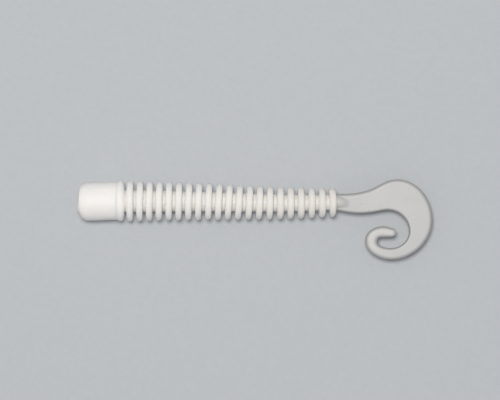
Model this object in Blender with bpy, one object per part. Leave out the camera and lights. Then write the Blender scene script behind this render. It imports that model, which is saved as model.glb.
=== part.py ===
"""Ringed soft plastic worm for fishing, with a flat tail curled into a ring.

The worm lies along +X, its nose face at the origin and its flat tail in the XY plane. The whole
thing is one soft moulding that flexes at the grooves between its ribs and all along its tail. It is
divided at those places: each rib, each stretch of core between two ribs and each length of tail is
a solid of its own, clear of the next one. Dimensions are in millimetres and degrees.
"""

import math

import bmesh
import bpy
from mathutils import Matrix, Vector

MM = 0.001
GAP = 0.3
TURNED_SIDES = 24
WELD = 0.0005
SHARP_EDGE = 35

# Nose plug and collar, the stiff front end that a hook is threaded into.
NOSE_LENGTH = 9.5
NOSE_RADIUS = 4.7
NOSE_FRONT_ROUNDING = 1.3
NOSE_BACK_ROUNDING = 0.4
COLLAR_FRONT = NOSE_LENGTH + GAP
COLLAR_LENGTH = 1.3
COLLAR_RADIUS = 5.0
COLLAR_ROUNDING = 0.55

# Ribs. Their spacing grows and their diameter shrinks from the nose to the tail.
RIB_COUNT = 21
FIRST_RIB = 12.8
FIRST_PITCH = 2.4
PITCH_GROWTH = 0.0119
FIRST_RIB_DIAMETER = 10.13
RIB_TAPER = 0.112
RIB_TAPER_GROWTH = 0.0014
RIB_THICKNESS = 1.45
RIB_ROUNDING = 0.7
# The ribs' +Y edges lean towards the tail, in swells: most degrees, middle rib, spread in ribs.
LEAN_SWELLS = [(4.2, 11.5, 3.2), (1.6, 4.5, 3), (-1.5, 21.5, 2)]

# Core between the ribs: a thin double cone, so that it can rock both ways in its groove.
FIRST_CORE_DIAMETER = 5.6
CORE_TAPER = 0.085
CORE_RIM_THICKNESS = 0.14

# The body's slight sideways bow: how far, where it is deepest, and how long it is.
BOW_DEPTH = -0.5
BOW_PLACE = 52.0
BOW_LENGTH = 18.0

# Tail: a flat ribbon along a smooth curve that starts behind the last rib.
TAIL_THICKNESS = 1.5
TAIL_CHAMFER = 0.4
TAIL_LENGTH = 50.9
TAIL_START_HEADING = -4.5
TAIL_START_Y = -0.23
TAIL_BEND = [  # distance along the tail, degrees turned per millimetre
    (0, -2.0), (3, 2.6), (6, 3.2), (9, 2.9), (11, 0.5), (12.5, -3.8), (14, -6.4),
    (15.5, -11.4), (17, -11.9), (19.5, -7.0), (22, -6.7), (26.5, -8.1), (31, -7.7), (35.5, -8.0),
    (40, -8.2), (42, -22.9), (43.5, -25.8), (45, -26.7), (46.5, -17.5), (48.5, -3.6), (51, 11.6),
]
TAIL_WIDTH = [  # distance along the tail, width
    (0, 4.07), (3, 4.74), (6, 5.27), (9, 5.73), (11, 6.17), (12.5, 6.85), (14, 7.69),
    (15.5, 8.21), (17, 8.24), (19.5, 7.94), (22, 7.21), (26, 5.81), (29, 4.44), (32, 3.46),
    (35, 3.01), (38, 2.91), (41, 2.77), (43.8, 3.2), (46, 2.75), (48, 2.84), (51, 1.94),
]
CURVE_STEP = 0.05
LOFT_STEP = 0.9
TIGHT_CURL = 40.0
TIP_NARROWEST = 0.3
LEAST_FLAT = 0.05

# Where the tail flaps up and down, and how many degrees the curl opens at each of its own joints:
# less where it is wide, because a wide blade is stiff in its own plane.
TAIL_WEB_JOINTS = [0, 3.2, 6.4, 9.6, 12.8]
TAIL_CURL_OPENING = {
    16.2: 7, 19.6: 9, 23.0: 15, 26.4: 20, 29.8: 20,
    33.2: 20, 36.6: 20, 40.0: 20, 43.2: 20, 46.4: 20,
}
CLOSING_SHARE = 0.2
WEDGE_MARGIN = 0.5


def clear_scene():
    for thing in list(bpy.data.objects):
        bpy.data.objects.remove(thing)


def soft_plastic(name, colour, roughness):
    """A Principled material for one part of the moulding."""
    material = bpy.data.materials.new(name)
    material.use_nodes = True
    shader = material.node_tree.nodes["Principled BSDF"]
    shader.inputs["Base Color"].default_value = (*colour, 1)
    shader.inputs["Roughness"].default_value = roughness
    shader.inputs["Metallic"].default_value = 0
    return material


def place_of(thing):
    """World position of an object whose parents are never turned."""
    return thing.location + place_of(thing.parent) if thing.parent else thing.location.copy()


def put(thing, at, holder):
    """Links thing and puts it at a world point in millimetres, carried by holder."""
    bpy.context.collection.objects.link(thing)
    world = Vector(at) * MM
    thing.parent = holder
    thing.location = world - place_of(holder) if holder else world
    return thing


def joint_point(name, at, holder):
    """An empty on a joint's axis, which carries everything behind that joint."""
    empty = bpy.data.objects.new(name, None)
    empty.empty_display_size = 2 * MM
    return put(empty, at, holder)


def solid(name, bm, material, at, holder, heading=0.0):
    """Turns a bmesh in millimetres about its own origin into a named object."""
    bmesh.ops.recalc_face_normals(bm, faces=bm.faces)
    bm.transform(Matrix.Scale(MM, 4))
    mesh = bpy.data.meshes.new(name)
    bm.to_mesh(mesh)
    bm.free()
    mesh.shade_smooth()
    mesh.set_sharp_from_angle(angle=math.radians(SHARP_EDGE))
    mesh.materials.append(material)
    thing = put(bpy.data.objects.new(name, mesh), at, holder)
    thing.rotation_euler.z = math.radians(heading)
    return thing


def turned(profile):
    """Spins a profile of (x, radius) points, which starts and ends on the axis, about X."""
    bm = bmesh.new()
    points = [bm.verts.new((x, 0, radius)) for x, radius in profile]
    edges = [bm.edges.new(pair) for pair in zip(points, points[1:])]
    bmesh.ops.spin(
        bm, geom=points + edges, cent=(0, 0, 0), axis=(1, 0, 0),
        angle=math.tau, steps=TURNED_SIDES, use_merge=True,
    )
    bmesh.ops.remove_doubles(bm, verts=bm.verts, dist=WELD)
    return bm


def rounded_corner(x, radius, rounding, start, end, steps):
    """Points of an arc of a profile about (x, radius). Angle 0 points outwards, 90 towards +X."""
    angles = [math.radians(start + (end - start) * i / steps) for i in range(steps + 1)]
    return [(x + rounding * math.sin(a), radius + rounding * math.cos(a)) for a in angles]


def bow(x):
    """How far the body's centreline lies off the X axis."""
    return BOW_DEPTH * math.exp(-(((x - BOW_PLACE) / BOW_LENGTH) ** 2))


def rib_place(number):
    before = number - 1
    x = FIRST_RIB + FIRST_PITCH * before + PITCH_GROWTH * number * before / 2
    return Vector((x, bow(x), 0))


def rib_radius(number):
    before = number - 1
    return (FIRST_RIB_DIAMETER - RIB_TAPER * before - RIB_TAPER_GROWTH * before**2) / 2


def rib_lean(number):
    """How many degrees a rib's +Y edge leans towards the tail."""
    return sum(
        most * math.exp(-(((number - middle) / spread) ** 2))
        for most, middle, spread in LEAN_SWELLS
    )


def groove_place(number):
    """The middle of the groove in front of a rib."""
    half = RIB_THICKNESS / 2
    back = rib_place(number).x - half
    front = COLLAR_FRONT + COLLAR_LENGTH if number == 1 else rib_place(number - 1).x + half
    x = (front + back) / 2
    return Vector((x, bow(x), 0))


def nose_plug(material):
    front = rounded_corner(
        NOSE_FRONT_ROUNDING, NOSE_RADIUS - NOSE_FRONT_ROUNDING, NOSE_FRONT_ROUNDING, -90, 0, 5
    )
    back = rounded_corner(
        NOSE_LENGTH - NOSE_BACK_ROUNDING, NOSE_RADIUS - NOSE_BACK_ROUNDING,
        NOSE_BACK_ROUNDING, 0, 90, 3,
    )
    return solid("nose_plug", turned([(0, 0), *front, *back, (NOSE_LENGTH, 0)]),
                 material, (0, 0, 0), None)


def collar(material, holder):
    inner = COLLAR_RADIUS - COLLAR_ROUNDING
    front = rounded_corner(COLLAR_ROUNDING, inner, COLLAR_ROUNDING, -90, 0, 3)
    back = rounded_corner(COLLAR_LENGTH - COLLAR_ROUNDING, inner, COLLAR_ROUNDING, 0, 90, 3)
    return solid("collar", turned([(0, 0), *front, *back, (COLLAR_LENGTH, 0)]),
                 material, (COLLAR_FRONT, 0, 0), holder)


def rib(number, material, holder):
    half = RIB_THICKNESS / 2
    inner = rib_radius(number) - RIB_ROUNDING
    front = rounded_corner(RIB_ROUNDING - half, inner, RIB_ROUNDING, -90, 0, 2)
    back = rounded_corner(half - RIB_ROUNDING, inner, RIB_ROUNDING, 0, 90, 2)
    return solid(f"rib_{number:02d}", turned([(-half, 0), *front, *back, (half, 0)]),
                 material, rib_place(number), holder, -rib_lean(number))


def core(number, material, holder):
    """The core in the groove in front of a rib, leaning halfway between its neighbours."""
    radius = (FIRST_CORE_DIAMETER - CORE_TAPER * (number - 1)) / 2
    rim = CORE_RIM_THICKNESS / 2
    middle = rib_place(number).x - RIB_THICKNESS / 2 - groove_place(number).x - GAP
    lean = (rib_lean(number) + (rib_lean(number - 1) if number > 1 else 0)) / 2
    profile = [(-middle, 0), (-rim, radius), (rim, radius), (middle, 0)]
    return solid(f"core_{number:02d}", turned(profile), material,
                 groove_place(number), holder, -lean)


def read_off(table, at):
    """Straight-line reading between the points of a table."""
    for (low, first), (high, second) in zip(table, table[1:]):
        if at <= high:
            return first + (second - first) * (at - low) / (high - low)
    return table[-1][1]


def tail_curve():
    """Follows the tail's bend from its root: a list of (distance, point, heading in radians)."""
    steps = round(TAIL_LENGTH / CURVE_STEP)
    at = Vector((rib_place(RIB_COUNT).x + RIB_THICKNESS / 2 + GAP, TAIL_START_Y, 0))
    heading = math.radians(TAIL_START_HEADING)
    rows = [(0.0, at.copy(), heading)]
    for step in range(steps):
        turn = math.radians(read_off(TAIL_BEND, (step + 0.5) * CURVE_STEP)) * CURVE_STEP
        middle = heading + turn / 2
        at += CURVE_STEP * Vector((math.cos(middle), math.sin(middle), 0))
        heading += turn
        rows.append(((step + 1) * CURVE_STEP, at.copy(), heading))
    return rows


def tail_station(rows, distance):
    """Point, direction along the tail and direction to its outer edge at a distance along it."""
    _, at, heading = rows[round(distance / CURVE_STEP)]
    along = Vector((math.cos(heading), math.sin(heading), 0))
    return at, along, Vector((-along.y, along.x, 0))


def ribbon_section(half_width):
    """Corners (across, up) of the tail's flat section with its four long edges chamfered."""
    half = TAIL_THICKNESS / 2
    wide = half_width
    narrow = half_width - TAIL_CHAMFER
    low = half - TAIL_CHAMFER
    return [
        (wide, -low), (wide, low), (narrow, half), (-narrow, half),
        (-wide, low), (-wide, -low), (-narrow, -half), (narrow, -half),
    ]


def ribbon(rows, start, end):
    """The stretch of tail between two distances, as a closed loft of its section."""
    steps = max(2, math.ceil((end - start) / LOFT_STEP))
    if start >= TIGHT_CURL:
        steps *= 2
    bm = bmesh.new()
    loops = []
    for i in range(steps + 1):
        distance = start + (end - start) * i / steps
        at, _, outward = tail_station(rows, distance)
        half_width = read_off(TAIL_WIDTH, distance) / 2
        if end == TAIL_LENGTH:
            # The tip is rounded, so its last stretch narrows along a circle.
            left = (TAIL_LENGTH - distance) / half_width
            half_width *= max(TIP_NARROWEST, math.sqrt(1 - max(0, 1 - left) ** 2))
        loops.append([
            bm.verts.new(at + outward * across + Vector((0, 0, up)))
            for across, up in ribbon_section(max(half_width, TAIL_CHAMFER + LEAST_FLAT))
        ])
    for one, other in zip(loops, loops[1:]):
        for i in range(len(one)):
            j = (i + 1) % len(one)
            bm.faces.new((one[i], one[j], other[j], other[i]))
    bm.faces.new(loops[0])
    bm.faces.new(loops[-1])
    bmesh.ops.recalc_face_normals(bm, faces=bm.faces)
    return bm


def trim(bm, at, into, wedge):
    """Cuts off what lies behind a plane through a point, tilted by the wedge, and caps the cut.

    into points along the tail into the stretch that is kept.
    """
    turn = Matrix.Rotation(math.radians(wedge), 3, "Z")
    cut = bmesh.ops.bisect_plane(
        bm, geom=bm.verts[:] + bm.edges[:] + bm.faces[:], dist=WELD,
        plane_co=at, plane_no=turn @ into, clear_inner=True,
    )
    edges = [piece for piece in cut["geom_cut"] if isinstance(piece, bmesh.types.BMEdge)]
    bmesh.ops.holes_fill(bm, edges=edges)
    bmesh.ops.remove_doubles(bm, verts=bm.verts, dist=WELD)


def tail_piece(name, rows, start, end, material, holder):
    """One length of tail, trimmed for the joints at its two ends."""
    bm = ribbon(rows, start, end)
    if start > 0:
        at, along, _ = tail_station(rows, start)
        opening, closing = wedges(start)
        trim(bm, at + along * GAP / 2, along, -opening)
        trim(bm, at + along * GAP / 2, along, closing)
    if end < TAIL_LENGTH:
        at, along, _ = tail_station(rows, end)
        opening, closing = wedges(end)
        trim(bm, at - along * GAP / 2, -along, opening)
        trim(bm, at - along * GAP / 2, -along, -closing)
    pivot = joint_place(rows, start)
    bmesh.ops.translate(bm, verts=bm.verts, vec=-pivot)
    return solid(name, bm, material, pivot, holder)


def wedges(distance):
    """Each side's share of the wedge left at a joint, on its outer and on its inner edge."""
    opening = TAIL_CURL_OPENING.get(distance)
    if opening is None:
        return 0, 0
    return opening / 2 + WEDGE_MARGIN, opening * CLOSING_SHARE / 2 + WEDGE_MARGIN


def joint_place(rows, distance):
    """The joint's point, which for the first one is halfway across the gap behind the last rib."""
    at, along, _ = tail_station(rows, distance)
    return at - along * GAP / 2 if distance == 0 else at


def build():
    clear_scene()
    head_plastic = soft_plastic("head_plastisol", (0.87, 0.85, 0.81), 0.42)
    rib_plastic = soft_plastic("rib_plastisol", (0.86, 0.84, 0.80), 0.42)
    core_plastic = soft_plastic("core_plastisol", (0.70, 0.67, 0.62), 0.48)
    tail_plastic = soft_plastic("tail_plastisol", (0.58, 0.58, 0.57), 0.45)

    head = nose_plug(head_plastic)
    collar(head_plastic, head)
    holder = head
    for number in range(1, RIB_COUNT + 1):
        holder = joint_point(f"flex_{number:02d}", groove_place(number), holder)
        core(number, core_plastic, holder)
        rib(number, rib_plastic, holder)

    rows = tail_curve()
    starts = [*TAIL_WEB_JOINTS, *TAIL_CURL_OPENING]
    ends = starts[1:] + [TAIL_LENGTH]
    names = [f"tail_web_{i + 1}" for i in range(len(TAIL_WEB_JOINTS))]
    names += [f"tail_curl_{i + 1:02d}" for i in range(len(TAIL_CURL_OPENING) - 1)] + ["tail_tip"]
    for name, start, end in zip(names, starts, ends):
        holder = joint_point(f"{name}_joint", joint_place(rows, start), holder)
        tail_piece(name, rows, start, end, tail_plastic, holder)


build()
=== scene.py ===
# %% [markdown]
# # A ringed soft worm with a curled tail
# The real object is a fishing lure. It is cast in one shot from white plastisol, a mix of PVC and
# softening oil, so the whole of it bends. The CAD model divides it where it bends: a stiff nose
# with a collar, 21 ribs with a short core in front of each, and a flat tail in short lengths.
# This lesson gives each of those members its finished skin. The CAD model is loaded first, as a
# fixed frame, and it is never changed. Its box is kept and printed.

# %% Load the frame
import math

import bpy
import numpy as np
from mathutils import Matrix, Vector


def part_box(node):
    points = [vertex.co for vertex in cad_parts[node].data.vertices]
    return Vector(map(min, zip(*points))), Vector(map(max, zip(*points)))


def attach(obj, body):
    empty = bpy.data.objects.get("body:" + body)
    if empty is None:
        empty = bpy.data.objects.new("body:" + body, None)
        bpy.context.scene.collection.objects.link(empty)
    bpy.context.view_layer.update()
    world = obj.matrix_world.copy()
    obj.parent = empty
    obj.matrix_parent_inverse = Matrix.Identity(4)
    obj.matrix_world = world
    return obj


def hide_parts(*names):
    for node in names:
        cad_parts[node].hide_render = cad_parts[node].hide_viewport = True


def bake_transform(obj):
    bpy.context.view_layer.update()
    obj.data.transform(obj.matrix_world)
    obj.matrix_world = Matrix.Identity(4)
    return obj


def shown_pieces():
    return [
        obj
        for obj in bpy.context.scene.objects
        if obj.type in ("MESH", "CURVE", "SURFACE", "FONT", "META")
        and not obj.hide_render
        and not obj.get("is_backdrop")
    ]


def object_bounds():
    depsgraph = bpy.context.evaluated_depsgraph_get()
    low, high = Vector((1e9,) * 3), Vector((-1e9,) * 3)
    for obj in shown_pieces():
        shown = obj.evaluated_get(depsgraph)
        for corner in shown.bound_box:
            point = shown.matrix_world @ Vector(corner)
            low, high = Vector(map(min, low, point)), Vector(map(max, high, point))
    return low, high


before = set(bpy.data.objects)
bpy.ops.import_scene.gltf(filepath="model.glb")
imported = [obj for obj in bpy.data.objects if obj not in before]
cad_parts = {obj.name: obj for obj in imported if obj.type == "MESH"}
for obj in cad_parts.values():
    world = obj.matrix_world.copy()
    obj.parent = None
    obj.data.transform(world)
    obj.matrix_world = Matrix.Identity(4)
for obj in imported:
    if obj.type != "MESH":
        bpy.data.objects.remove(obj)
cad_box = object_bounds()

MM = 0.001
print("CAD box in mm:", [[round(v / MM, 2) for v in corner] for corner in cad_box])

# %% [markdown]
# ## Reading the ribs from the frame
# The lure's body is slightly bowed, and each of its ribs has its own place, size and lean. They
# could be typed in again, but a disc can be read from its own points, and then the two can't
# drift apart. The middle of its box is its centre. Half the height of its box is its radius,
# because the CAD's ribs lean only sideways. Its axis is the direction in which its points spread
# least.

# %% Centres, radii and axes of the ribs, in millimetres
RIB_COUNT = 21
RIB_NAMES = [f"rib_{number:02d}" for number in range(1, RIB_COUNT + 1)]


def disc_of(node):
    """Centre, radius and unit axis of a disc: middle of its box, half its height, least spread."""
    low, high = (np.array(corner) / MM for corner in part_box(node))
    flat = np.empty(len(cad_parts[node].data.vertices) * 3)
    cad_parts[node].data.vertices.foreach_get("co", flat)
    points = np.unique(np.round(flat.reshape(-1, 3) / MM, 3), axis=0)
    centre = (low + high) / 2
    _, directions = np.linalg.eigh(np.cov((points - centre).T))
    axis = directions[:, 0]
    return centre, (high - low)[2] / 2, axis * np.sign(axis[0])


rib_centres, rib_radii, rib_axes = (np.array(part) for part in zip(*map(disc_of, RIB_NAMES)))
rib_leans = np.degrees(np.arctan2(-rib_axes[:, 1], rib_axes[:, 0]))
print("rib centres along X:", rib_centres[:, 0].round(2))
print("rib radii:", rib_radii.round(2))
print("rib leans in degrees:", rib_leans.round(1))

# %% [markdown]
# ## Camera
# The lure lies on its side and is seen from straight above. A camera with no turn looks down the
# Z axis, so it only has to be placed. Its distance decides how much of the ribs' faces shows
# towards the two ends, and the lens is worked out from the width that the frame has to hold
# there.

# %% Camera
VIEW_WIDTH = 125.0
VIEW_CENTRE = (42.75, 0.275)
CAMERA_HEIGHT = 620.0
SENSOR = 36.0
NEAREST, FURTHEST = 0.01, 10

camera = bpy.data.objects.new("camera", bpy.data.cameras.new("camera"))
camera.data.sensor_width = SENSOR
camera.data.lens = SENSOR * CAMERA_HEIGHT / VIEW_WIDTH
camera.data.clip_start, camera.data.clip_end = NEAREST, FURTHEST
camera.location = (VIEW_CENTRE[0] * MM, VIEW_CENTRE[1] * MM, CAMERA_HEIGHT * MM)
bpy.context.collection.objects.link(camera)
bpy.context.scene.camera = camera
print("lens in mm:", round(camera.data.lens, 1))

# %% [markdown]
# ## Nodes and colours
# Every material below is a small graph. It could be drawn by hand in the shader editor. In a
# script, one function adds any node, sets its options and feeds its inputs, from a number, a
# colour or another node's socket, and that keeps a graph readable from top to bottom. Colours are
# written as sRGB hex, and one function turns them into the linear light that the shader works in.

# %% Helpers for materials


def linear(hex_colour):
    """sRGB hex to linear RGBA: each channel is undone by the sRGB curve, and alpha is 1."""
    channels = np.array([int(hex_colour[i:i + 2], 16) for i in (0, 2, 4)]) / 255
    low = channels / 12.92
    high = ((channels + 0.055) / 1.055) ** 2.4
    return (*np.where(channels <= 0.04045, low, high).tolist(), 1.0)


def add(tree, kind, feeds=None, **options):
    """Adds one node. Options are its settings, and feeds are values or sockets for its inputs."""
    made = tree.nodes.new(kind)
    for key, value in options.items():
        setattr(made, key, value)
    for key, value in (feeds or {}).items():
        if isinstance(value, bpy.types.NodeSocket):
            tree.links.new(value, made.inputs[key])
        else:
            made.inputs[key].default_value = value
    return made


def new_material(name):
    """A material with an empty graph but for its output and its shader."""
    material = bpy.data.materials.new(name)
    material.use_nodes = True
    tree = material.node_tree
    return material, tree, tree.nodes["Principled BSDF"]


print("mid grey 808080 in linear light:", round(linear("808080")[0], 3))

# %% [markdown]
# ## Light
# On a bench the lure would be lit by one soft box almost overhead and by the room around it. An
# environment map could hold both, but it is a file to be read from disk. So the soft box is a
# round area light, tipped a little towards the outer side of the tail's arch and towards the
# nose: the ribs are bright on top and fall off more quickly on the other side. An even, weak sky
# fills the grooves.

# %% Sky and soft box
KEY_DISTANCE = 0.75
KEY_TILT_OUT = 6.5
KEY_TILT_NOSE = 3.0
KEY_SIZE = 0.2
KEY_POWER = 3.9
SKY_STRENGTH = 0.34

world = bpy.data.worlds.new("pale_room")
bpy.context.scene.world = world
world.use_nodes = True
sky = world.node_tree.nodes["Background"]
sky.inputs["Color"].default_value = linear("F4F6FA")
sky.inputs["Strength"].default_value = SKY_STRENGTH

key_data = bpy.data.lights.new("soft_box", "AREA")
key_data.shape = "DISK"
key_data.size = KEY_SIZE
key_data.energy = KEY_POWER
key_data.color = linear("FFFDF8")[:3]
key = bpy.data.objects.new("soft_box", key_data)
aim = Vector((VIEW_CENTRE[0] * MM, 0, 0))
tilt = Vector((-math.tan(math.radians(KEY_TILT_NOSE)), math.tan(math.radians(KEY_TILT_OUT)), 1))
key.location = aim + KEY_DISTANCE * tilt.normalized()
key.rotation_euler = tilt.to_track_quat("Z", "Y").to_euler()
key.visible_camera = False
bpy.context.collection.objects.link(key)

bpy.context.scene.view_settings.view_transform = "Standard"
print("soft box at", [round(v, 3) for v in key.location], "m")

# %% [markdown]
# ## Floor
# The lure lies on a sheet of **matt pale card**, made of rolled paper fibres, which give the eye
# a faint grain and no gloss. A single face is enough for it. It touches the lowest rib, and it is
# a little greyer than the lure, so that both the white body and the thin tail stand out from it.

# %% Card and floor
FLOOR_REACH = 3.0
CARD_ROUGHNESS = 0.9
CARD_GRAIN_MM = 10 / 9  # nine flocks of fibre in every 10 mm

card, tree, shader = new_material("matt_pale_card")
place = add(tree, "ShaderNodeTexCoord").outputs["Object"]
grain = add(
    tree, "ShaderNodeTexNoise", {"Vector": place, "Scale": 1 / (CARD_GRAIN_MM * MM), "Detail": 4}
)
tone = add(
    tree, "ShaderNodeMix",
    {"Factor": grain.outputs["Fac"], "A": linear("BABEC2"), "B": linear("C2C5C9")},
    data_type="RGBA",
)
tree.links.new(tone.outputs["Result"], shader.inputs["Base Color"])
shader.inputs["Roughness"].default_value = CARD_ROUGHNESS

lowest = cad_box[0][2]
corners = [(-1, -1), (1, -1), (1, 1), (-1, 1)]
floor_mesh = bpy.data.meshes.new("floor")
floor_mesh.from_pydata(
    [(x * FLOOR_REACH, y * FLOOR_REACH, lowest) for x, y in corners], [], [(0, 1, 2, 3)]
)
floor_mesh.materials.append(card)
floor = bpy.data.objects.new("floor", floor_mesh)
bpy.context.collection.objects.link(floor)
floor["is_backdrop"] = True
print("floor at z =", round(lowest / MM, 3), "mm")

# %% [markdown]
# ## Patterns of a casting
# Three marks are the same all over a soft casting. Its white pigment settles unevenly, in
# **clouds** of a few millimetres. There are **specks** of old colour from the pot. And the mould
# was bead-blasted, which leaves a skin of fine **pebbles**. A painted texture could hold them,
# but it would stretch and show seams on so many pieces. Noise in the object's own space runs
# through all of them without a join.

# %% Clouds, specks and pebbles
PEBBLE_MM = 0.25
PEBBLE_STRENGTH = 0.25
PEBBLE_DEPTH = 0.02


def clouds(tree, place, size_mm, low=0.0, high=1.0):
    """Slow noise about size_mm wide, with its middle band stretched to run from low to high."""
    noise = add(
        tree, "ShaderNodeTexNoise",
        {"Vector": place, "Scale": 1 / (size_mm * MM), "Detail": 3, "Roughness": 0.6},
    )
    band = add(
        tree, "ShaderNodeMapRange",
        {"Value": noise.outputs["Fac"], "From Min": 0.3, "From Max": 0.7,
         "To Min": low, "To Max": high},
    )
    return band.outputs["Result"]


def specks(tree, place, cell_mm, radii, chance, strength, **options):
    """A dot in the middle of some Voronoi cells: full up to the first radius, gone at the second.

    The radii are in widths of a cell, and a cell has a dot when its own random number is below the
    chance.
    """
    cells = add(
        tree, "ShaderNodeTexVoronoi", {"Vector": place, "Scale": 1 / (cell_mm * MM)}, **options
    )
    near = add(
        tree, "ShaderNodeMapRange",
        {"Value": cells.outputs["Distance"], "From Min": radii[0], "From Max": radii[1],
         "To Min": strength, "To Max": 0},
    )
    lot = add(tree, "ShaderNodeSeparateColor", {"Color": cells.outputs["Color"]})
    chosen = add(tree, "ShaderNodeMath", {0: lot.outputs["Red"], 1: chance}, operation="LESS_THAN")
    dots = add(
        tree, "ShaderNodeMath",
        {0: near.outputs["Result"], 1: chosen.outputs["Value"]}, operation="MULTIPLY",
    )
    return dots.outputs["Value"]


def pebbled(tree, place, shader):
    """Gives the shader the bump of the blasted mould, and returns the noise that made it."""
    # Real pebbles are about 0.1 mm wide. They're drawn at 0.25 mm, so that they can show.
    pebbles = add(
        tree, "ShaderNodeTexNoise", {"Vector": place, "Scale": 1 / (PEBBLE_MM * MM), "Detail": 2}
    )
    bump = add(
        tree, "ShaderNodeBump",
        {"Height": pebbles.outputs["Fac"], "Strength": PEBBLE_STRENGTH,
         "Distance": PEBBLE_DEPTH * MM},
    )
    tree.links.new(bump.outputs["Normal"], shader.inputs["Normal"])
    return pebbles.outputs["Fac"]


print("pebbles in mm:", PEBBLE_MM, "wide and", PEBBLE_DEPTH, "deep")

# %% [markdown]
# ## Plastisol for the body
# **White plastisol** is PVC with a softening oil, shot hot into an aluminium mould. The blasted
# mould gives the eye a satin surface with no sharp highlight, under a thin film of oil. The
# pigment makes it nearly opaque, but light still spreads a fraction of a millimetre inside it,
# which takes the edge off every shadow. Its IOR is that of soft PVC, 1.53.
# Down in a groove the lure lies in shade: light passes from wall to wall before it comes out, and
# looks warmer and greyer. Tracing every such path would be slow, so this shade is painted: each
# skin brings an attribute, groove, from 0 on a rim to 1 on the core, and the colour darkens along
# it to a painted shade tone. The ribs are thinner than the plug, so they start from slightly
# deeper tones and their clouds are smaller.

# %% Body materials
PLASTISOL_IOR = 1.53
PLASTISOL_GLOSS = 0.3
GLOW_DEPTH = 0.35
GLOW_BY_CHANNEL = (1.0, 0.9, 0.8)
BODY_ROUGHNESS = 0.55
SMOOTHER, ROUGHER = 0.05, 0.06  # by how much, in the pits and on the tops of the pebbles
BODY_TONES = ("F6F4F2", "F3F1EF")
BODY_CLOUDS = 5.0
RIB_TONES = ("F1EFED", "EEECEA")
RIB_CLOUDS = 3.0
GROOVE_SHADE_TONE = "E0DDD9"
SPECK_TONE = "8F8878"


def plastisol(name, tones, clouds_mm):
    """Satin plastisol: clouds between two tones, the painted shade of the grooves, specks and
    pebbles.
    """
    material, tree, shader = new_material(name)
    place = add(tree, "ShaderNodeTexCoord").outputs["Object"]
    light, dark = map(linear, tones)
    tone = add(
        tree, "ShaderNodeMix",
        {"Factor": clouds(tree, place, clouds_mm), "A": light, "B": dark}, data_type="RGBA",
    )
    # Painted shade: the groove attribute mixes in the painted shade tone of the grooves.
    depth = add(tree, "ShaderNodeAttribute", attribute_name="groove").outputs["Fac"]
    shaded_tone = add(
        tree, "ShaderNodeMix",
        {"Factor": depth, "A": tone.outputs["Result"], "B": linear(GROOVE_SHADE_TONE)},
        data_type="RGBA",
    )
    # Cells of 2.6 mm. A fifth have a dot, up to 0.3 mm across where the skin cuts its middle.
    dots = specks(tree, place, 2.6, (0.035, 0.06), chance=0.22, strength=0.45)
    stained = add(
        tree, "ShaderNodeMix",
        {"Factor": dots, "A": shaded_tone.outputs["Result"], "B": linear(SPECK_TONE)}, data_type="RGBA",
    )
    tree.links.new(stained.outputs["Result"], shader.inputs["Base Color"])
    pebbles = pebbled(tree, place, shader)
    gloss = add(
        tree, "ShaderNodeMapRange",
        {"Value": pebbles, "From Min": 0.3, "From Max": 0.7,
         "To Min": BODY_ROUGHNESS - SMOOTHER, "To Max": BODY_ROUGHNESS + ROUGHER},
    )
    tree.links.new(gloss.outputs["Result"], shader.inputs["Roughness"])
    shader.inputs["IOR"].default_value = PLASTISOL_IOR
    shader.inputs["Subsurface Weight"].default_value = 1.0
    shader.inputs["Subsurface Radius"].default_value = GLOW_BY_CHANNEL
    shader.inputs["Subsurface Scale"].default_value = GLOW_DEPTH * MM
    shader.inputs["Specular IOR Level"].default_value = PLASTISOL_GLOSS
    return material


body_plastic = plastisol("satin_white_plastisol", BODY_TONES, BODY_CLOUDS)
rib_plastic = plastisol("ribbed_white_plastisol", RIB_TONES, RIB_CLOUDS)
print("nodes in each body material:", len(body_plastic.node_tree.nodes))

# %% [markdown]
# ## Skins as grids
# The members are round or flat, but none is a plain turned shape. Spin or a Screw modifier would
# make a turned one, and each bump and cut would then need a modifier more. Here a piece is a
# stack of closed rings: a table of points with one row for each ring and one column for each step
# around it, so any formula can move all of its points at once.
# Neighbouring rings are joined by quads, and a fan of triangles closes each end at its ring's
# middle. Rings run towards +X and each one runs from +Y to +Z, so the faces point outwards. The
# volume is printed, because it would be negative on a skin turned inside out.

# %% Rings to mesh


def volume(points, quads):
    """Signed volume in the points' unit: a sixth of each triangle's triple product, summed."""
    a, b, c, d = (points[quads[:, i]] for i in range(4))
    first = np.einsum("ij,ij->i", a, np.cross(b, c))
    second = np.einsum("ij,ij->i", a, np.cross(c, d))
    return float((first + second).sum() / 6)


def skin(name, rings, material, attributes=None, sharp=40.0):
    """An object from rings (ring, step, xyz) in mm: quads between rings, a fan at each end."""
    count, around = rings.shape[:2]
    points = np.concatenate([rings.reshape(-1, 3), rings[[0, -1]].mean(axis=1)])
    ring = np.arange(count - 1)[:, None] * around
    step = np.arange(around)
    after = (step + 1) % around
    quads = np.stack(
        [ring + step, ring + after, ring + around + after, ring + around + step], axis=-1
    ).reshape(-1, 4)
    first, last, far = count * around, count * around + 1, (count - 1) * around
    front = np.stack([np.full(around, first), after, step], axis=-1)
    back = np.stack([np.full(around, last), far + step, far + after], axis=-1)
    mesh = bpy.data.meshes.new(name)
    mesh.from_pydata((points * MM).tolist(), [], quads.tolist() + front.tolist() + back.tolist())
    for key, values in (attributes or {}).items():
        ends = values[[0, -1]].mean(axis=1)
        layer = mesh.attributes.new(key, "FLOAT", "POINT")
        layer.data.foreach_set("value", np.concatenate([values.ravel(), ends]).astype(np.float32))
    mesh.shade_smooth()
    mesh.set_sharp_from_angle(angle=math.radians(sharp))
    mesh.materials.append(material)
    made = bpy.data.objects.new(name, mesh)
    bpy.context.collection.objects.link(made)
    # For the volume, a triangle is a quad whose last corner is there twice.
    fans = np.concatenate([front, back])[:, [0, 1, 2, 2]]
    made["volume_mm3"] = volume(points, np.concatenate([quads, fans]))
    return made


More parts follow.
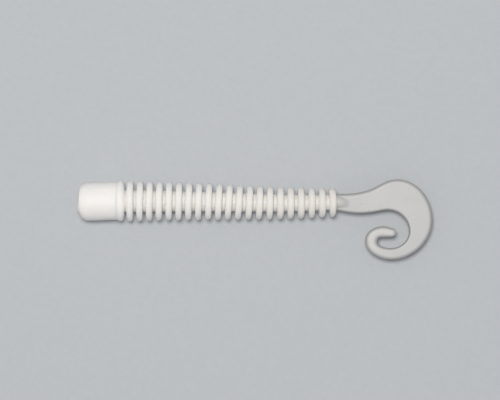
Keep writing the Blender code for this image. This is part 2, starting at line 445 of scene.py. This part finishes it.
def ease(share):
    """A smooth step from 0 to 1 for a share from 0 to 1: 3 s^2 - 2 s^3."""
    return share * share * (3 - 2 * share)


print("half way up the smooth step:", ease(0.5))

# %% [markdown]
# ## Turned rings and a little life
# Every round member is turned about its own axis from a half section of (x, radius) points. Steps
# round the ring are packed closer at the two sides, where the halves of the mould met and left a
# fine ridge. A soft casting is never quite true either, so its skin also rolls by a few
# hundredths of a millimetre. A Displace modifier could do that from a noise texture. A sum of
# nine long waves in seeded directions is as good, and it is the same at every run.

# %% Turning, seam ridge and ripple
AROUND = 120
SEAM_PACKING = 0.6
SEAM_HEIGHT = 0.045
SEAM_HALF_WIDTH = 0.13
WAVES = 9


def packed_angles(around):
    """Angles round a ring, closer together at 0 and 180 degrees: t - k/2 sin 2t for even t."""
    even = np.linspace(0, 2 * np.pi, around, endpoint=False)
    return even - SEAM_PACKING / 2 * np.sin(2 * even)


def turned(profile, around=AROUND):
    """Rings about X: ring i has its x and radius, and points at (x, r cos t, r sin t)."""
    angle = packed_angles(around)
    x, radius = np.asarray(profile, float).T[:, :, None]
    return np.stack([x + 0 * angle, radius * np.cos(angle), radius * np.sin(angle)], axis=-1)


def with_seam(rings):
    """Adds the mould's ridge: y grows outwards by a bell of z, times (radius / largest)^4."""
    radius = np.linalg.norm(rings[..., 1:], axis=-1)
    share = radius / radius.max()
    lift = SEAM_HEIGHT * share**4 * np.exp(-((rings[..., 2] / SEAM_HALF_WIDTH) ** 2))
    out = rings.copy()
    out[..., 1] += np.sign(rings[..., 1]) * lift
    return out


def ripple(points, seed, length, height):
    """Nine sine waves of about that length, in seeded directions: their sum over three."""
    draw = np.random.default_rng(seed)
    direction = draw.normal(size=(WAVES, 3))
    direction /= np.linalg.norm(direction, axis=1, keepdims=True)
    number = 2 * np.pi / (length * draw.uniform(0.7, 1.4, WAVES))
    phase = draw.uniform(0, 2 * np.pi, WAVES)
    return height / 3 * np.sin(points @ (direction * number[:, None]).T + phase).sum(axis=-1)


def placed(rings, centre, axis):
    """Turns rings from the X axis onto an axis near it, with Z still up, and moves them there."""
    along = np.asarray(axis) / np.linalg.norm(axis)
    side = np.cross([0, 0, 1], along)
    side /= np.linalg.norm(side)
    up = np.cross(along, side)
    return rings @ np.stack([along, side, up]) + centre


spacing = np.degrees(np.diff(packed_angles(AROUND)))
print("degrees between steps: from", spacing.min().round(2), "to", spacing.max().round(2))

# %% [markdown]
# ## Softer shade on the flanks
# In the real casting light runs from a rib through the core into the next, so no flank is ever
# dark. Here each member is a skin of its own, and light spread inside one stops at its end.
# Deeper spreading would only darken the places where two skins overlap. So the shading normals
# help instead: each one leans a little towards the way straight out from its member's axis, as it
# would on a plainer, rounder shape. The real shape and its outline stay as they are.

# %% Leaning normals
NORMAL_LEAN = 0.35
NOSE_NORMAL_LEAN = 0.5
TINY = 1e-6


def soften(made, centre, axis, share=NORMAL_LEAN):
    """Shading normal: (1 - share) of the true one plus share of the way out from the axis."""
    mesh = made.data
    flat = np.empty(len(mesh.vertices) * 3, np.float32)
    mesh.vertices.foreach_get("co", flat)
    away = flat.reshape(-1, 3) / MM - centre
    mesh.vertex_normals.foreach_get("vector", flat)
    along = np.asarray(axis) / np.linalg.norm(axis)
    away = away - (away @ along)[:, None] * along
    away /= np.maximum(np.linalg.norm(away, axis=1, keepdims=True), TINY)
    leant = (1 - share) * flat.reshape(-1, 3) + share * away
    leant /= np.linalg.norm(leant, axis=1, keepdims=True)
    mesh.normals_split_custom_set_from_vertices(leant.tolist())


print("normals lean by", NORMAL_LEAN, "and on the nose by", NOSE_NORMAL_LEAN)

# %% [markdown]
# ## Section of a rib
# A rib is a thin disc with a rounded rim. Its flanks widen slightly towards the core, so that the
# mould lets go of it, and they meet the core in a small fillet. One rib in an Array modifier
# would be quick, but every rib has its own radius, and its core gets thinner towards the tail. So
# the half section is worked out for each: a fillet arc, a straight flank, and half an ellipse for
# the rim.

# %% Half section of a rib
RIM_HALF_THICKNESS = 0.735
ROOT_HALF_THICKNESS = 0.765
RIM_HEIGHT = 0.75
ROOT_FILLET = 0.22
HUB_SHARE = 0.5  # the section ends inside the core, at this share of its radius
FILLET_POINTS, WALL_STEPS, RIM_POINTS = 7, 5, 10
FIRST_CORE_RADIUS = 2.8
CORE_TAPER = 0.0425
GROOVE_SHADE_FROM = 1.0
GROOVE_SHADE_OVER = 0.8


def core_radius(number):
    """Radius of the core in the groove in front of a rib, which shrinks evenly."""
    return FIRST_CORE_RADIUS - CORE_TAPER * (number - 1)


def groove_shade(rings, core):
    """Share of painted groove shade, 0 on a rim and 1 at the core: a smooth step that starts a
    millimetre above the core.
    """
    above = np.hypot(rings[..., 1], rings[..., 2]) - core
    return ease(np.clip((GROOVE_SHADE_FROM - above) / GROOVE_SHADE_OVER, 0, 1))


def flank(radius, core):
    """Half a rib's section as (x, radius): hidden hub, fillet, wall, and rim up to its top."""
    turn = np.linspace(0, np.pi / 2, FILLET_POINTS)
    foot = ROOT_HALF_THICKNESS + ROOT_FILLET
    fillet = np.stack(
        [foot - ROOT_FILLET * np.sin(turn), core + ROOT_FILLET * (1 - np.cos(turn))], axis=-1
    )
    turn = np.linspace(0, np.pi / 2, RIM_POINTS)
    base = radius - RIM_HEIGHT
    rim = np.stack(
        [RIM_HALF_THICKNESS * np.cos(turn), base + RIM_HEIGHT * np.sin(turn)], axis=-1
    )
    share = np.linspace(0, 1, WALL_STEPS + 1)[1:-1, None]
    wall = fillet[-1] * (1 - share) + rim[0] * share
    hub = [[RIM_HALF_THICKNESS, core * HUB_SHARE]]
    return np.concatenate([hub, fillet, wall, rim])


print("points in half a section:", len(flank(rib_radii[0], core_radius(1))))

# %% [markdown]
# ## Making the ribs
# The front ribs stand straight. Towards the tail their tops lean back a little, which makes them
# look wider from above. They also get smaller, with less white plastic behind the surface, so
# that their colour nears that of the grooves.
# Copies of one rib could be placed by hand. A loop over the frame's own centres and axes puts
# each rib where the CAD has it: it is turned from its section, given the seam and the ripple, and
# placed. Its two flanks reach down to the core on their own side.

# %% Ribs
TOP_LEAN = 5.0
TOP_LEAN_FROM = 8
TOP_LEAN_OVER = 13
RIB_FADING = 0.7
RIB_FADING_POWER = 1.6
RIB_WARP = (7.0, 0.035)
RIB_OUT_OF_ROUND = (9.0, 0.006)


def top_lean(number):
    """How far a rib's top leans back, in degrees: none in front, most at the last rib."""
    return TOP_LEAN * ease(np.clip((number - TOP_LEAN_FROM) / TOP_LEAN_OVER, 0, 1))


ribs = []
for index, name in enumerate(RIB_NAMES):
    front = flank(rib_radii[index], core_radius(index + 1)) * [-1, 1]
    back = flank(rib_radii[index], core_radius(index + 2))[::-1]
    rings = with_seam(turned(np.concatenate([front, back[1:]])))
    rings[..., 0] += ripple(rings, 100 + index, *RIB_WARP)
    rings[..., 1:] *= 1 + ripple(rings, 200 + index, *RIB_OUT_OF_ROUND)[..., None]
    axis = rib_axes[index] - [0, 0, math.tan(math.radians(top_lean(index + 1)))]
    fading = RIB_FADING * (index / (RIB_COUNT - 1)) ** RIB_FADING_POWER
    # Painted shade: each flank darkens towards the core, and the smaller back ribs take more of
    # that tone.
    groove = np.maximum(groove_shade(rings, core_radius(index + 1.5)), fading)
    rib = skin(
        f"{name}_skin", placed(rings, rib_centres[index], axis), rib_plastic, {"groove": groove}
    )
    soften(rib, rib_centres[index], axis)
    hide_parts(name)
    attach(rib, name)
    ribs.append(rib)
print("rib volumes in mm3:", [round(rib["volume_mm3"], 1) for rib in ribs])

# %% [markdown]
# ## Core
# Between two ribs a short length of thin round core shows, and that is where the lure bends. A
# plain tube would do for what shows, but its ends have to stay covered when the groove opens on
# one side. So each length of core runs on into both ribs, by more than the groove ever opens, and
# is closed by a flat end there. The first one starts from the collar.

# %% Core lengths
RIB_HALF = 0.725
COLLAR_BACK = 11.1
CORE_BURIED = 0.5
CORE_END_SHARE = 0.4
CORE_RINGS = 15
CORE_AROUND = 96
CORE_OUT_OF_ROUND = (4.0, 0.008)

cores = []
for number in range(1, RIB_COUNT + 1):
    after = rib_centres[number - 1]
    before = rib_centres[number - 2] if number > 1 else np.array([COLLAR_BACK - RIB_HALF, 0, 0])
    half = (np.linalg.norm(after - before) - 2 * RIB_HALF) / 2 + CORE_BURIED
    radius = core_radius(number)
    along = np.linspace(-half, half, CORE_RINGS)
    tube = np.stack([along, np.full_like(along, radius)], axis=-1)
    end = np.array([[half, CORE_END_SHARE * radius]])
    rings = turned(np.concatenate([end * [-1, 1], tube, end]), CORE_AROUND)
    rings[..., 1:] *= 1 + ripple(rings, 300 + number, *CORE_OUT_OF_ROUND)[..., None]
    # Painted shade: the core only shows down in the grooves, so all of it takes their painted
    # shade tone.
    core = skin(
        f"core_{number:02d}_skin", placed(rings, (before + after) / 2, after - before),
        rib_plastic, {"groove": np.ones(rings.shape[:2])},
    )
    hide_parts(f"core_{number:02d}")
    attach(core, f"core_{number:02d}")
    cores.append(core)
print("core volumes in mm3:", [round(core["volume_mm3"], 1) for core in cores])

# %% [markdown]
# ## Nose plug
# The nose is a smooth solid plug, where the hook goes in. Its end was rounded by the mould and
# then trimmed: a slanting cut took off the sprue, the stalk where the mould was filled. The cut
# bites into one shoulder and leaves a crisp corner there, and beside it a low ragged stub of the
# sprue is left standing proud. Its face is painted greyer, in the grooves' painted shade tone. The
# axis of the plug dips a little sideways to the front. A Boolean could cut it, but it would leave
# long thin faces behind. So the plug is a stack of rings like the rest, and the cut and the stub
# only move its points along X, by where they lie on the face.

# %% Sizes of the plug, in millimetres
NOSE_LENGTH = 9.5
NOSE_RADIUS = 4.74
NOSE_ROUNDING = 2.45  # the shoulder's length and drop on the -Y side
UPPER_REACH = 0.15  # how much longer the shoulder is on the +Y side
UPPER_DROP = 0.75  # how much less it drops there
FACE_RINGS, SHOULDER_RINGS, SIDE_RINGS = 30, 28, 40
CUT_PLACE = -0.01
CUT_SLANT = 0.07  # millimetres back for each one towards +Y
CUT_ROUNDING = 0.03
CUT_ENDS, CUT_FADE = 2.2, 0.1
STUB_PLACE = (-0.87, 0.1)
STUB_RADIUS = 1.5
STUB_HEIGHT = 0.42
STUB_SLANT = 0.10
STUB_EDGE = 0.07
STUB_BACK = 0.6
STUB_RAGGED = (2.2, 0.12)
NOSE_FACE = 0.06  # how far the whole end sits behind the origin
FACE_ENDS, FACE_FADE = 3, 0.4
NOSE_BACK_Y = 0.09
NOSE_DIP = 0.0375
DIP_FROM = 8.6
NOSE_WARP = (8.0, 0.025)
print("plug in mm:", NOSE_LENGTH, "long and", 2 * NOSE_RADIUS, "across")

# %% Rings of the plug


def soft_step(values, width):
    """Rises from 0 to 1 around 0, over about four widths: 1 / (1 + exp(-v / width))."""
    return 1 / (1 + np.exp(-np.clip(values / width, -40, 40)))


def plain_nose():
    """The plug before the trim: a flat face, a quarter of an ellipse and a straight side.

    Round the ring, the ellipse grows longer and shallower from -Y to +Y, along (1 + cos t) / 2.
    """
    angle = packed_angles(AROUND)[None, :]
    upper = (1 + np.cos(angle)) / 2
    reach = NOSE_ROUNDING + UPPER_REACH * upper
    drop = NOSE_ROUNDING - UPPER_DROP * upper
    face = np.linspace(0.02, 1, FACE_RINGS, endpoint=False)[:, None]
    turn = np.linspace(0, np.pi / 2, SHOULDER_RINGS)[:, None]
    side = np.linspace(0, 1, SIDE_RINGS)[1:, None]
    x = np.concatenate([
        0 * face * reach, reach * (1 - np.cos(turn)), reach + (NOSE_LENGTH - reach) * side,
    ])
    radius = np.concatenate([
        face * (NOSE_RADIUS - drop), NOSE_RADIUS - drop * (1 - np.sin(turn)),
        NOSE_RADIUS + 0 * side * reach,
    ])
    return x, radius * np.cos(angle), radius * np.sin(angle)


def nose_rings():
    """The trimmed plug, and how far each of its points belongs to the stub, which is painted in
    shade.

    A point at depth d in front of the cut's plane moves back by (d + sqrt(d^2 + c^2)) / 2, which
    is d with its corner rounded by c. The stub pushes a ragged round patch forward, less towards
    +Y.
    """
    x, y, z = plain_nose()
    front = CUT_PLACE + CUT_SLANT * y - x
    moved = 0.5 * (front + np.sqrt(front**2 + CUT_ROUNDING**2))
    x = x + moved * soft_step(CUT_ENDS - x, CUT_FADE)
    ragged = ripple(np.stack([x, y, z], axis=-1), 7, *STUB_RAGGED)
    away = np.hypot(y - STUB_PLACE[0], z - STUB_PLACE[1]) + ragged
    on_stub = soft_step(STUB_RADIUS - away, STUB_EDGE) * (x < STUB_BACK)
    proud = STUB_HEIGHT - STUB_SLANT * (y - STUB_PLACE[0] + STUB_RADIUS)
    x = x - np.clip(proud, 0, None) * on_stub
    x = x + NOSE_FACE * soft_step(FACE_ENDS - x, FACE_FADE)
    y = y + NOSE_BACK_Y - NOSE_DIP * np.clip(DIP_FROM - x, 0, None)
    return np.stack([x, y, z], axis=-1), on_stub


rings, stub_shade = nose_rings()
print("front of the stub in mm:", rings[..., 0].min().round(2))

# %% Nose plug
nose = with_seam(rings)
nose = nose + ripple(rings, 11, *NOSE_WARP)[..., None] * [0, 1, 1]
# One smaller ring more closes the plug inside the collar, where it is hidden.
hidden_end = nose[-1:] * [1, 0.6, 0.6] + [0.4, 0, 0]
# Painted shade: the stub's points carry the groove attribute, which greys its face.
nose_plug = skin(
    "nose_plug_skin", np.concatenate([nose, hidden_end]), body_plastic,
    {"groove": np.concatenate([stub_shade, stub_shade[-1:]])},
)
soften(nose_plug, np.array([0, 0, 0]), [1, 0, 0], NOSE_NORMAL_LEAN)
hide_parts("nose_plug")
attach(nose_plug, "head")
print("nose plug volume in mm3:", round(nose_plug["volume_mm3"], 1))

# %% [markdown]
# ## Collar
# Behind the plug stands the collar, a raised ring. It starts flush with the plug, climbs gently
# to its ridge, and drops steeply to the core with a small fillet at its foot. A few points give
# its half section. A Subdivision Surface modifier would round them; cutting their corners again
# and again gives the same smooth curve, and only along the section, where it is needed.

# %% Collar
COLLAR_SECTION = [
    (9.0, 2.0), (9.05, 4.45), (9.3, 4.7), (9.6, 4.78), (9.9, 4.9), (10.15, 5.0), (10.4, 5.05),
    (10.7, 5.0), (10.95, 4.78), (11.15, 4.4), (11.26, 3.9), (11.32, 3.3), (11.37, 2.93),
    (11.5, 2.81), (11.3, 1.4),
]
COLLAR_RISE = 0.08
COLLAR_RISE_FROM, COLLAR_RISE_OVER = 11.2, 1.5
COLLAR_WARP = (8.0, 0.03)
COLLAR_OUT_OF_ROUND = (9.0, 0.005)


def cut_corners(points, rounds):
    """Each round puts two points on every side, at a quarter and three quarters of its length."""
    points = np.asarray(points, float)
    for _ in range(rounds):
        quarter = points[:-1] * 0.75 + points[1:] * 0.25
        three = points[:-1] * 0.25 + points[1:] * 0.75
        inner = np.stack([quarter, three], axis=1).reshape(-1, 2)
        points = np.concatenate([points[:1], inner, points[-1:]])
    return points


rings = with_seam(turned(cut_corners(COLLAR_SECTION, 2)))
rings[..., 0] += ripple(rings, 21, *COLLAR_WARP)
rings[..., 1:] *= 1 + ripple(rings, 22, *COLLAR_OUT_OF_ROUND)[..., None]
# Its front follows the back of the plug, which lies a little towards +Y.
rings[..., 1] += COLLAR_RISE * np.clip((COLLAR_RISE_FROM - rings[..., 0]) / COLLAR_RISE_OVER, 0, 1)
# Painted shade: the collar's foot darkens towards the core, as in the grooves.
collar = skin("collar_skin", rings, body_plastic, {"groove": groove_shade(rings, core_radius(1))})
soften(collar, np.array([0, 0, 0]), [1, 0, 0])
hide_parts("collar")
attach(collar, "head")
print("collar volume in mm3:", round(collar["volume_mm3"], 1))

# %% [markdown]
# ## Path of the tail
# The tail is a flat ribbon that turns in its own plane: first a little one way, then round into a
# hook. It could be drawn as a Bezier curve, but the CAD's own law is at hand: a table of how many
# degrees it turns per millimetre, and one of how wide it is. The headings and places along it are
# running sums. The width is rounded off with a short moving average, so that no corner of the
# table shows in the outline.

# %% Tail law
TAIL_LENGTH = 50.9
TAIL_START_HEADING = -4.5
TAIL_START_Y = -0.23
TAIL_BEND = [
    (0, -2.0), (3, 2.6), (6, 3.2), (9, 2.9), (11, 0.5), (12.5, -3.8), (14, -6.4),
    (15.5, -11.4), (17, -11.9), (19.5, -7.0), (22, -6.7), (26.5, -8.1), (31, -7.7), (35.5, -8.0),
    (40, -8.2), (42, -22.9), (43.5, -25.8), (45, -26.7), (46.5, -17.5), (48.5, -3.6), (51, 11.6),
]
TAIL_WIDTH = [
    (0, 4.07), (3, 4.74), (6, 5.27), (9, 5.73), (11, 6.17), (12.5, 6.85), (14, 7.69),
    (15.5, 8.21), (17, 8.24), (19.5, 7.94), (22, 7.21), (26, 5.81), (29, 4.44), (32, 3.46),
    (35, 3.01), (38, 2.91), (41, 2.77), (43.8, 3.2), (46, 2.75), (48, 2.84), (51, 1.94),
]
TAIL_GAP = 0.3
CURVE_STEP = 0.05
WIDTH_ROUNDING = 1.2
SPARE = 60  # steps beyond each end, for the moving average

tail_steps = round(TAIL_LENGTH / CURVE_STEP)
tail_s = np.arange(tail_steps + 1) * CURVE_STEP
bend_s, bend = np.array(TAIL_BEND).T
turns = np.radians(np.interp(tail_s[:-1] + CURVE_STEP / 2, bend_s, bend)) * CURVE_STEP
tail_heading = math.radians(TAIL_START_HEADING) + np.concatenate([[0], np.cumsum(turns)])
middle = tail_heading[:-1] + turns / 2
tail_start = np.array([rib_centres[-1, 0] + RIB_HALF + TAIL_GAP, TAIL_START_Y])
steps = CURVE_STEP * np.stack([np.cos(middle), np.sin(middle)], axis=-1)
tail_xy = tail_start + np.concatenate([[[0, 0]], np.cumsum(steps, axis=0)])

window = np.hanning(2 * round(WIDTH_ROUNDING / CURVE_STEP) + 1)
width_s, width = np.array(TAIL_WIDTH).T
padded = np.interp(np.arange(-SPARE, tail_steps + SPARE + 1) * CURVE_STEP, width_s, width)
smooth = np.convolve(padded, window / window.sum(), mode="same")
tail_half = smooth[SPARE:-SPARE] / 2
print("tail ends at", tail_xy[-1].round(2), "mm; widest", (2 * tail_half.max()).round(2))

# %% [markdown]
# ## Section of the tail
# Across, the tail is a flat web with rounded edges, and the outer edge is rounded over more of
# its width than the inner one. The web is a little thinner near its root. Towards the tip the
# ribbon is hardly wider than it is thick, and its section swells into a bead. The end of the core
# runs out onto both faces of the web as a low bump.
# A flat curve with a bevel would give the edges but not those changes, so the section is a
# formula. Up from the middle plane, the height at a distance d from an edge that is rounded over
# e is t sqrt(1 - (1 - d/e)^2), and it is t beyond that.

# %% Tail sections
TAIL_AROUND = 64
TAIL_HALF_THICKNESS = 0.75
OUTER_ROUNDING = 0.8
INNER_ROUNDING = 0.5
BEAD_ROUNDING = 0.65  # a share of the half width
BEAD_FROM, BEAD_OVER = 34, 8
TIP_THICKENING = 0.12
TIP_LEAST = 0.0009  # keeps the last ring from closing up
ROOT_THINNING = 0.1
ROOT_THINNING_REACH = 9.0
ROOT_CORE = 1.35
ROOT_CORE_LENGTH = 3.4
ROOT_CORE_MARGIN = 0.1
ROOT_CORE_NARROWING = 0.35


def at_tail(s, values):
    """Reads a row of the tail's law at distances s."""
    return np.interp(s, tail_s, values)


def core_end(s, across):
    """How far the core's end stands over the web: it sinks along a cosine, and is domed across."""
    share = np.clip(s / ROOT_CORE_LENGTH, 0, 1)
    height = (ROOT_CORE - TAIL_HALF_THICKNESS) * (1 + np.cos(np.pi * share)) / 2
    width = (ROOT_CORE + ROOT_CORE_MARGIN) * (1 - ROOT_CORE_NARROWING * share)
    dome = np.clip(1 - (across / width) ** 2, 0, 1)
    return height * dome ** (1 + 0.5 * share)


def tail_rings(s):
    """Rings of the tail at distances s, with the wall's thickness at every point.

    Across the path a point lies at w cos t, for half a width w that closes in a round tip. Its
    height is the section's formula, up or down by the sign of sin t. Then it is turned to the
    path's heading.
    """
    s = np.asarray(s, float)[:, None]
    angle = np.linspace(0, 2 * np.pi, TAIL_AROUND, endpoint=False)[None, :]
    half = at_tail(s, tail_half)
    left = TAIL_LENGTH - s
    round_tip = np.sqrt(np.clip(1 - np.clip(1 - left / half, 0, 1) ** 2, TIP_LEAST, 1))
    across = half * round_tip * np.cos(angle)
    distance = half * round_tip - np.abs(across)
    bead = ease(np.clip((s - BEAD_FROM) / BEAD_OVER, 0, 1))
    rounding = np.where(across > 0, OUTER_ROUNDING, INNER_ROUNDING)
    rounding = np.minimum(rounding, half * round_tip)
    rounding = rounding + (BEAD_ROUNDING * half * round_tip - rounding) * bead
    thin = 1 - ROOT_THINNING * np.exp(-((s / ROOT_THINNING_REACH) ** 2))
    thick = (TAIL_HALF_THICKNESS * thin + TIP_THICKENING * bead) * np.sqrt(round_tip)
    share = 1 - np.clip(distance / rounding, 0, 1)
    up = thick * np.sqrt(1 - share**2)
    up = (up + core_end(s, across)) * np.sign(np.round(np.sin(angle), 6))
    heading = at_tail(s, tail_heading)
    x = at_tail(s, tail_xy[:, 0]) - across * np.sin(heading)
    y = at_tail(s, tail_xy[:, 1]) + across * np.cos(heading)
    return np.stack([x, y, up], axis=-1), 2 * np.abs(up)


measured = [1, 10, 30, 50]
print("thickness in mm at", measured, ":", tail_rings(measured)[1].max(axis=1).round(2))

# %% [markdown]
# ## Plastisol of the tail
# It is the same casting in a **thin wall** of a millimetre and a half, from the same blasted
# mould. A thin wall sends less light back, which gives the eye a grey beside the white of the
# body, and a darker grey where the edge thins out.
# Real scattering would need one unbroken skin: the tail is made of lengths that meet, and light
# inside one would stop at its end and draw a line there. So no light is spread inside it. The
# thickness of the wall is stored on every point instead, and a ramp turns it into a colour.

# %% Tail material
TAIL_ROUGHNESS = 0.42
TAIL_CLOUDS = 4.0
TAIL_SPECK_TONE = "5A5754"
THICKEST = 3.0
THIN_EDGE, FULL_WALL = "868482", "D6D4D0"
WALL_TONES = [
    (0.7, "A09E9D"), (1.1, "AAA9A9"), (1.4, "B1B1B1"), (1.5, "B6B6B7"), (1.9, "C4C3C1"),
]

tail_plastic, tree, shader = new_material("thin_white_plastisol")
place = add(tree, "ShaderNodeTexCoord").outputs["Object"]
wall = add(tree, "ShaderNodeAttribute", attribute_name="wall_mm").outputs["Fac"]
full = add(tree, "ShaderNodeMapRange", {"Value": wall, "From Min": 0, "From Max": THICKEST})
shade = add(tree, "ShaderNodeValToRGB", {"Fac": full.outputs["Result"]})
ramp = shade.color_ramp
ramp.elements[0].position, ramp.elements[0].color = 0.0, linear(THIN_EDGE)
ramp.elements[1].position, ramp.elements[1].color = 1.0, linear(FULL_WALL)
for wall_shown, tone in WALL_TONES:
    ramp.elements.new(wall_shown / THICKEST).color = linear(tone)
clouded = add(
    tree, "ShaderNodeVectorMath",
    {0: shade.outputs["Color"], "Scale": clouds(tree, place, TAIL_CLOUDS, 0.97, 1.02)},
    operation="SCALE",
)
# Cells of 2.4 mm in X and Y only, so that a speck shows on both faces. A third have one.
dots = specks(
    tree, place, 2.4, (0.03, 0.08), chance=0.34, strength=0.4, voronoi_dimensions="2D"
)
specked = add(
    tree, "ShaderNodeMix",
    {"Factor": dots, "A": clouded.outputs["Vector"], "B": linear(TAIL_SPECK_TONE)},
    data_type="RGBA",
)
tree.links.new(specked.outputs["Result"], shader.inputs["Base Color"])
pebbled(tree, place, shader)
shader.inputs["Roughness"].default_value = TAIL_ROUGHNESS
shader.inputs["IOR"].default_value = PLASTISOL_IOR
print("nodes in the tail's material:", len(tree.nodes))

# %% [markdown]
# ## Lengths of tail
# The blade flexes all along, and the frame gives it fifteen joints. One skin on an armature would
# be the smoothest, but a skin may be blended across one joint only. Here each length crosses one
# joint, from the middle of the member in front to the middle of the member behind, and neighbours
# meet there.

# %% Joints and members of the tail
WEB_JOINTS = [0, 3.2, 6.4, 9.6, 12.8]
CURL_JOINTS = [16.2, 19.6, 23.0, 26.4, 29.8, 33.2, 36.6, 40.0, 43.2, 46.4]
ROOT_START = -0.9
joints = WEB_JOINTS + CURL_JOINTS
members = [f"tail_web_{i + 1}" for i in range(len(WEB_JOINTS))]
members += [f"tail_curl_{i + 1:02d}" for i in range(len(CURL_JOINTS) - 1)] + ["tail_tip"]
middles = [(a + b) / 2 for a, b in zip(joints, joints[1:])]
starts = [ROOT_START] + middles
ends = middles + [TAIL_LENGTH]
LAST_RIB = RIB_NAMES[-1]
before = [LAST_RIB] + members[:-1]


def hinge(s):
    """Point and direction of the tail's path at a joint, in mm."""
    heading = at_tail(s, tail_heading)
    point = np.array([at_tail(s, tail_xy[:, 0]), at_tail(s, tail_xy[:, 1]), 0])
    return point, np.array([np.cos(heading), np.sin(heading), 0])


print("lengths of tail in mm:", [round(end - start, 1) for start, end in zip(starts, ends)])

# %% Tail lengths
RING_STEP = 0.2
FEWEST_STEPS = 8

for joint, member, holder, start, end in zip(joints, members, before, starts, ends):
    count = max(FEWEST_STEPS, math.ceil((end - start) / RING_STEP)) + 1
    s = np.linspace(start, end, count)
    if member == "tail_tip":  # its rings crowd towards the rounded end
        s = start + (end - start) * np.sin(np.linspace(0, np.pi / 2, 2 * count))
    rings, wall_mm = tail_rings(np.clip(s, 0, None))
    if start < 0:  # the root runs straight back into the last rib
        rings[..., 0] += np.clip(s, None, 0)[:, None]
    length = skin(f"{member}_skin", rings, tail_plastic, {"wall_mm": wall_mm}, sharp=50)
    at, along = hinge(joint)
    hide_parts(member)
    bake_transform(length)

# %% [markdown]
# ## Triangles
# The real lure's size is the frame's. The skins' triangles are counted and printed, and the script
# ends.

# %% Triangles
bpy.context.view_layer.update()
triangles = sum(
    len(polygon.vertices) - 2
    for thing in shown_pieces() if thing.type == "MESH" for polygon in thing.data.polygons
)
print("triangles:", triangles)
